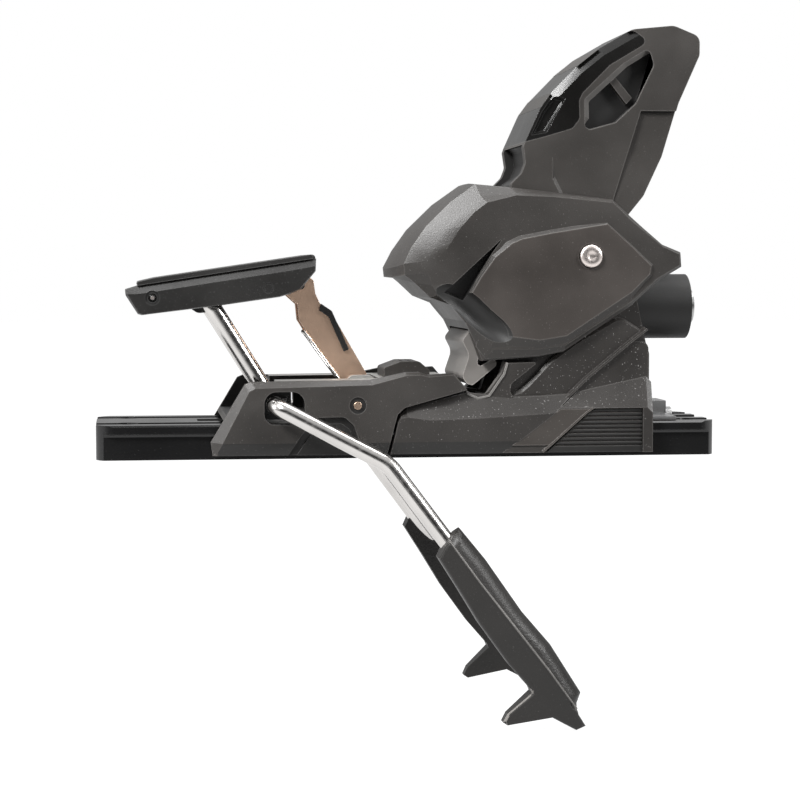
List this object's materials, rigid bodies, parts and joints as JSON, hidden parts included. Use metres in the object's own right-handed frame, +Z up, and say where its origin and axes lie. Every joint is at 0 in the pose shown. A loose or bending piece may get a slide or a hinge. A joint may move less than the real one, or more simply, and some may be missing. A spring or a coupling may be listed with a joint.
{
  "type": "ski touring binding heel unit",
  "caption": "Heel unit of a ski touring binding: rail with sliding carriage, sprung heel cup with step-out lever, and a folding ski brake with foot pedal.",
  "frame": {"origin": "centre of the ski's width on the rail's underside, 100 mm behind the rail's front end", "axes": "+X towards the tail of the ski, +Z up from the ski, +Y completes the right-handed frame"},
  "size_m": [0.234, 0.112, 0.2609],
  "materials": {
    "rail_black": "smooth gloss",
    "steel": "brushed",
    "housing_plastic": "fine grained matt",
    "cover_plate": "satin",
    "rivet": "turned satin",
    "lock_plastic": "matt",
    "bush_plastic": "matt",
    "spring_steel": "drawn wire",
    "chrome_wire": "polished",
    "foot_rubber": "grained",
    "pedal_plastic": "semi gloss",
    "pedal_top": "polished",
    "copper_pin": "turned",
    "link_steel": "bronze tinted, brushed",
    "trim_plastic": "satin",
    "panel_plastic": "satin",
    "barrel_plastic": "matt",
    "gloss_black": "polished"
  },
  "bodies": {
    "rail": {"mounting_rail": "rail_black", "rail_rack": "steel"},
    "carriage": {"slide_plate": "steel", "brake_housing": "housing_plastic", "brake_cover": "cover_plate", "housing_pins": "rivet", "link_pin": "steel", "brake_bushes": "bush_plastic", "worm_bracket": "steel", "pressure_springs": "spring_steel"},
    "lock": {"brake_lock": "lock_plastic"},
    "adjuster": {"adjust_screw": "steel"},
    "brake": {"brake_wire_left": "chrome_wire", "brake_wire_right": "chrome_wire", "brake_foot_left": "foot_rubber", "brake_foot_right": "foot_rubber"},
    "pedal": {"pedal_body": "pedal_plastic", "pedal_plate": "pedal_top", "pedal_pin": "copper_pin", "link_top_pin": "steel"},
    "link": {"support_link": "link_steel", "link_tab": "bush_plastic", "link_spring": "spring_steel"},
    "base": {"heel_base": "housing_plastic", "side_trim_left": "trim_plastic", "side_trim_right": "trim_plastic", "rib_panel_left": "bush_plastic", "rib_panel_right": "bush_plastic", "main_axle": "rivet", "cam_bar": "steel"},
    "cup": {"cup_shell": "housing_plastic", "cup_panel_left": "panel_plastic", "cup_panel_right": "panel_plastic", "treadle": "trim_plastic", "spring_barrel": "barrel_plastic", "lever_axle": "steel", "release_spring": "spring_steel"},
    "piston": {"release_piston": "steel"},
    "seat": {"spring_seat": "steel"},
    "screw": {"release_screw": "steel"},
    "lever": {"lever_shell": "housing_plastic", "lever_insert": "gloss_black"}
  },
  "joints": [
    {"name": "length_adjust", "type": "slide", "parent": "rail", "child": "carriage", "axis": [1, 0, 0], "range_m": [-0.015, 0.01]},
    {"name": "adjust_screw_turn", "type": "hinge", "parent": "carriage", "child": "adjuster", "pos_m": [0.108, 0, 0.0132], "axis": [1, 0, 0], "range_deg": [-1441, 2161]},
    {"name": "forward_pressure", "type": "slide", "parent": "carriage", "child": "base", "axis": [1, 0, 0], "range_m": [0, 0.006], "stiffness_N_per_m": 8000, "deforming": ["pressure_springs"]},
    {"name": "brake_fold", "type": "hinge", "parent": "carriage", "child": "brake", "pos_m": [-0.034, 0, 0.02], "axis": [0, -1, 0], "range_deg": [0, 58], "stiffness_Nm_per_rad": 0.3, "deforming": ["link_spring"]},
    {"name": "pedal_turn", "type": "hinge", "parent": "brake", "child": "pedal", "pos_m": [-0.0583, 0, 0.059], "axis": [0, -1, 0], "range_deg": [-64.5, 0]},
    {"name": "link_turn", "type": "hinge", "parent": "carriage", "child": "link", "pos_m": [-0.001, 0, 0.027], "axis": [0, -1, 0], "range_deg": [0, 62.5]},
    {"name": "brake_lock_slide", "type": "slide", "parent": "carriage", "child": "lock", "axis": [-1, 0, 0], "range_m": [0, 0.004]},
    {"name": "heel_open", "type": "hinge", "parent": "base", "child": "cup", "pos_m": [0.084, 0, 0.0753], "axis": [0, 1, 0], "range_deg": [0, 34]},
    {"name": "lever_turn", "type": "hinge", "parent": "cup", "child": "lever", "pos_m": [0.092, 0, 0.092], "axis": [0, 1, 0], "range_deg": [0, 12.1]},
    {"name": "piston_slide", "type": "slide", "parent": "cup", "child": "piston", "axis": [1, 0, 0], "range_m": [0, 0.0118], "deforming": ["release_spring"]},
    {"name": "release_setting", "type": "slide", "parent": "cup", "child": "seat", "axis": [-1, 0, 0], "range_m": [0, 0.004]},
    {"name": "release_screw_turn", "type": "hinge", "parent": "cup", "child": "screw", "pos_m": [0.125, 0, 0.056], "axis": [1, 0, 0], "range_deg": [0, 961]}
  ],
  "couplings": [
    {"joint": "adjust_screw_turn", "follows": "length_adjust", "rad_per_m": -2513.3},
    {"joint": "pedal_turn", "follows": "brake_fold", "ratio": -1.1034},
    {"joint": "link_turn", "follows": "brake_fold", "ratio": 1.069},
    {"joint": "lever_turn", "follows": "heel_open", "ratio": 0.35294},
    {"joint": "piston_slide", "follows": "heel_open", "m_per_rad": 0.019683},
    {"joint": "release_screw_turn", "follows": "release_setting", "rad_per_m": 4188.8}
  ]
}
